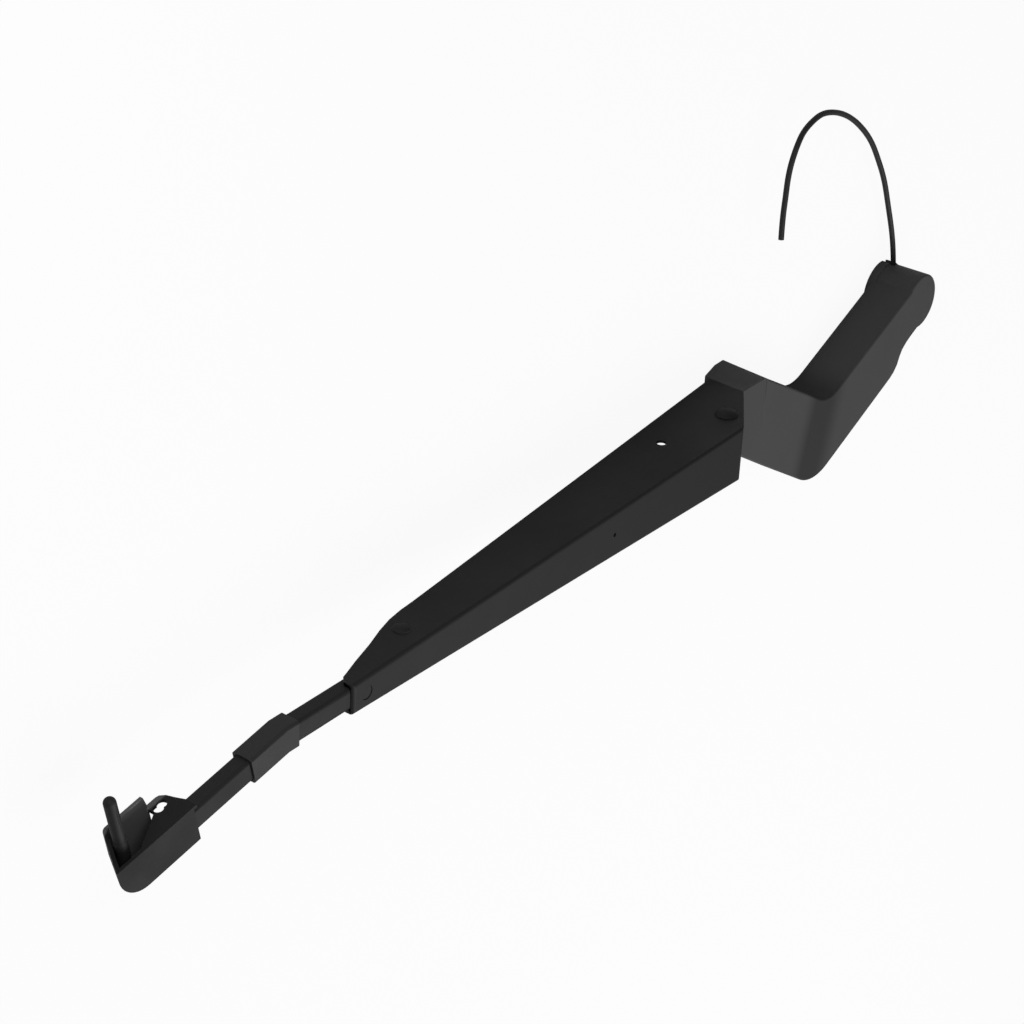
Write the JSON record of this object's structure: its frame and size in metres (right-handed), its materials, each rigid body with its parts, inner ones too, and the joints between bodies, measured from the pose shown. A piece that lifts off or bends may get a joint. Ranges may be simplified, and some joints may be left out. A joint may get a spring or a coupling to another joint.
{
  "type": "windscreen wiper arm",
  "caption": "Black wiper arm with a cranked cast head, a folding sheet-metal channel on a hinge pin, a bent steel bar and a side-pin blade holder.",
  "frame": {"origin": "on the spindle bore's axis at the underside of the head", "axes": "+Z along the spindle axis, away from the glass; +X along the arm towards the blade; +Y towards the far side"},
  "size_m": [0.5932, 0.1886, 0.0436],
  "materials": {
    "cast_paint": "satin black",
    "sheet_paint": "satin black",
    "bare_steel": "bare, slightly dull",
    "spring_steel": "phosphated",
    "black_plastic": "matt",
    "tube_rubber": "matt black"
  },
  "bodies": {
    "head": {"mounting_head": "cast_paint", "spindle_insert": "bare_steel", "nut_cover": "black_plastic", "hinge_bush_near": "black_plastic", "hinge_bush_far": "black_plastic", "anchor_pin": "bare_steel", "tube_in_head": "tube_rubber", "washer_tube": "tube_rubber"},
    "arm": {"channel": "sheet_paint", "hinge_pin": "sheet_paint", "tail_pin": "sheet_paint", "arm_bar": "sheet_paint", "bar_rivet": "sheet_paint", "nozzle_sleeve": "black_plastic", "blade_holder": "sheet_paint", "blade_pin": "sheet_paint", "tube_in_arm": "tube_rubber", "tube_bridge": "tube_rubber", "tube_clips": "black_plastic"},
    "spring_linkage": {"spring_link": "bare_steel", "tension_spring": "spring_steel"}
  },
  "joints": [
    {"name": "arm_fold", "type": "hinge", "parent": "head", "child": "arm", "pos_m": [0.1865, 0.0045, 0.028], "axis": [0, -1, 0], "range_deg": [0, 60], "stiffness_Nm_per_rad": 1, "springref_deg": -45.84, "deforming": ["tube_bridge"]},
    {"name": "link_swing", "type": "hinge", "parent": "head", "child": "spring_linkage", "pos_m": [0.1885, 0.0045, 0.018], "axis": [0, -1, 0], "range_deg": [0, 60]}
  ],
  "couplings": [
    {"joint": "link_swing", "follows": "arm_fold", "ratio": 0.989}
  ]
}
